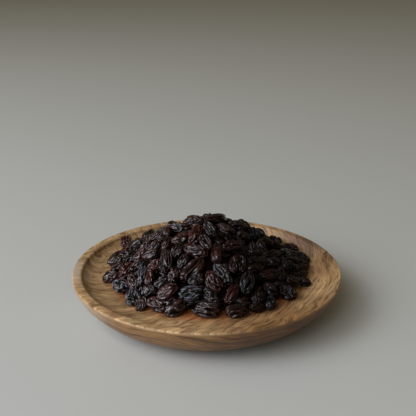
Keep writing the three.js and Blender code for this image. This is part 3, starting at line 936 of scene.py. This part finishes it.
def patches_stain_and_shade(wood, place, grained):
    """Greyish patches, a purple-grey spot at the right back, painted shade on the front right, and the
    darker orange-brown round the heap's foot.
    """
    blots = add_node(
        wood, "TexNoise", {"Vector": place, "Scale": HEARTWOOD_PATCHES, "Detail": 3.0}
    ).outputs["Fac"]
    blotted = add_node(
        wood, "MapRange", {"Value": blots, "From Min": 0.54, "From Max": 0.68, "To Max": 0.55}
    ).outputs["Result"]
    greyed = stained(wood, blotted, grained, colour("#a58a86"))
    spotted = stained(wood, blot(wood, place, (58, 36), 6, 27, 0.95), greyed, colour("#b0a8bc"))
    # Painted shade: the dish's front right, which faces away from the light, is browned darker
    front_right_shade = stained(wood, blot(wood, place, (48, -72), 18, 52, 1.0), spotted, colour("#cbbca8"))
    # Round the heap's foot the floor turns orange-brown: partly a stain that the fruit's sugar and oil have
    # left, partly painted shade and warm bounce light from the fruit
    return stained(wood, blot(wood, place, HEAP_MIDDLE, 49, 61, 0.9), front_right_shade, colour("#c58448"))


def wall_shade_and_left_sheen(wood, place, outer_wall, oiled):
    """Painted shade on the outer wall, where it faces down, and a pale painted sheen on the left side, where
    the light falls.
    """
    # Painted shade: darker where the outer wall faces down
    wall_shaded = stained(wood, outer_wall, oiled, colour("#c4b29c"))
    # Painted sheen: the outer wall and rim on the left, where the light falls, are mixed towards a pale grey
    sheen_reach = add_node(wood, "Math", {
        0: outer_wall, 1: blot(wood, place, (-96, -8), 21, 34, 1.0),
    }, operation="MAXIMUM").outputs["Value"]
    lit_side_sheen = add_node(wood, "Math", {
        0: blot(wood, place, (-96, -22), 34, 70, 0.55), 1: sheen_reach,
    }, operation="MULTIPLY").outputs["Value"]
    return add_node(
        wood, "Mix", {"Factor": lit_side_sheen, "A": wall_shaded, "B": colour("#cdbda8")}, data_type="RGBA"
    ).outputs["Result"]


def dish_wood():
    """Oiled open-pored hardwood, turned: arched growth layers, dark pores and a low sheen."""
    wood = new_material("oiled_turned_hardwood")
    place = add_node(wood, "TexCoord").outputs["Object"]
    outer_wall = add_node(wood, "Attribute", attribute_name="outer_wall").outputs["Fac"]
    grain = growth_layers(wood, place, outer_wall)
    bands = grain_noise(wood, grain, GROWTH_BAND, 3.0)
    pores = set_ramp(
        add_node(wood, "ValToRGB", {"Fac": grain_noise(wood, grain, PORE, 1.0)}),
        (0.35, white(0.2)), (0.44, white(1.0)),
    ).outputs["Color"]
    oiled = patches_stain_and_shade(wood, place, grain_colour(wood, grain, bands, pores))
    bump = add_node(wood, "Bump", {"Height": pores, "Strength": 0.4, "Distance": 0.0003}).outputs["Normal"]
    roughness = add_node(
        wood, "MapRange", {"Value": bands, "To Min": 0.42, "To Max": 0.6}
    ).outputs["Result"]
    return finish_material(wood, {
        "Base Color": wall_shade_and_left_sheen(wood, place, outer_wall, oiled), "Roughness": roughness,
        "Normal": bump, "IOR": REFRACTION,
    })


def table_top():
    """A plain pale grey table, matt."""
    top = new_material("pale_matt_table")
    return finish_material(top, {"Base Color": colour("#babbb7"), "Roughness": 0.85})


# The set: floor, light and camera

def add_floor():
    bpy.ops.object.select_all(action="DESELECT")
    bpy.ops.mesh.primitive_plane_add(size=TABLE_SIZE)
    floor = bpy.context.object
    floor.name = "table_top"
    floor.data.materials.append(table_top())


def aim(thing, place, target):
    thing.location = place
    thing.rotation_euler = (Vector(target) - Vector(place)).to_track_quat("-Z", "Y").to_euler()


def add_area_light(name, place, size, power, tint):
    data = bpy.data.lights.new(name, "AREA")
    data.shape = "RECTANGLE"
    data.size, data.size_y = size
    data.energy = power
    data.color = tint[:3]
    light = bpy.data.objects.new(name, data)
    bpy.context.scene.collection.objects.link(light)
    aim(light, place, LIT_PLACE)


def add_lights():
    add_area_light("window", (-1.0, -0.78, 0.9), (2.0, 1.5), 31, colour(DAYLIGHT))
    add_area_light("bright_pane", (-1.05, -0.7, 0.9), (0.6, 0.6), 7, colour(DAYLIGHT))
    world = bpy.data.worlds.new("pale_room")
    world.use_nodes = True
    background = world.node_tree.nodes["Background"]
    background.inputs["Color"].default_value = colour(ROOM_LIGHT)
    background.inputs["Strength"].default_value = ROOM_STRENGTH
    bpy.context.scene.world = world
    bpy.context.scene.view_settings.view_transform = "Standard"


def add_camera():
    data = bpy.data.cameras.new("camera")
    data.lens = data.sensor_width * PICTURE_REACH / PICTURE_SIDE
    camera = bpy.data.objects.new("camera", data)
    bpy.context.scene.collection.objects.link(camera)
    camera.location = EYE * MM
    camera.rotation_euler = (math.pi / 2 - EYE_TILT, 0, 0)
    bpy.context.scene.camera = camera


# The pieces

def add_dish():
    dish = turn_on_lathe("turned_dish", dish_profile(), DISH_SIDES)
    # The outer wall, where the surface faces down: it turns the grain into long streaks and carries the
    # wall's painted shade
    facing_down = np.array([-vertex.normal.z for vertex in dish.data.vertices])
    set_attribute(dish.data, "outer_wall", "FLOAT", np.clip(WALL_FADE * facing_down, 0, 1))
    dish.data.materials.append(dish_wood())
    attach(dish, "root")
    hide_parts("dish")


def add_raisin_piece(name, copies, skin, node):
    piece = joined(name, copies)
    piece.data.materials.append(skin)
    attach(piece, "root")
    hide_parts(node)


def add_raisins():
    outer = lay_outer_raisins()
    inner = lay_inner_raisins(outer)
    draw = seeded_draw(FORM_SEED)
    full_forms = [model_form(index, draw) for index in range(FORM_COUNT)]
    forms = {
        faces: [thinned(form, faces) for form in full_forms]
        for faces in (OUTER_FACES, FAR_FACES, INNER_FACES)
    }
    skin = raisin_skin()

    copies = []
    for index, raisin in enumerate(outer):
        faces = OUTER_FACES if raisin["seen"] else FAR_FACES
        copies.append(copy_raisin(forms[faces][index * FORM_STEP % FORM_COUNT], raisin, index))
    loose = [copy for copy, raisin in zip(copies, outer) if lies_loose(raisin)]
    for number, copy in enumerate(loose, 1):
        add_raisin_piece(f"loose_raisin_{number:02d}", [copy], skin, f"raisin_{number:02d}")

    fused = [(copy, raisin) for copy, raisin in zip(copies, outer) if not lies_loose(raisin)]
    fused.sort(key=lambda pair: heap_azimuth(pair[1]))
    sides = ("left", "front", "right", "back")
    for number, side in enumerate(sides):
        first = len(fused) * number // len(sides)
        last = len(fused) * (number + 1) // len(sides)
        quarter = [copy for copy, _ in fused[first:last]]
        add_raisin_piece(f"heap_raisins_{side}", quarter, skin, "raisin_heap")

    deep = [
        copy_raisin(forms[INNER_FACES][index % FORM_COUNT], raisin, index)
        for index, raisin in enumerate(inner)
    ]
    # Painted shade: a dark solid fills the heap's inside under the inner raisins; with no crest of its own
    # it takes the skin's darkest furrow shade and blackens the deepest gaps
    core = turn_on_lathe("heap_core", core_profile(), CORE_SIDES)
    core.data.transform(Matrix.Translation((HEAP_MIDDLE[0] * MM, HEAP_MIDDLE[1] * MM, 0)))
    add_raisin_piece("heap_raisins_inner", [*deep, core], skin, "raisin_heap")
    for form in [*full_forms, *(form for group in forms.values() for form in group)]:
        bpy.data.objects.remove(form)


add_camera()
add_lights()
add_floor()
add_dish()
add_raisins()
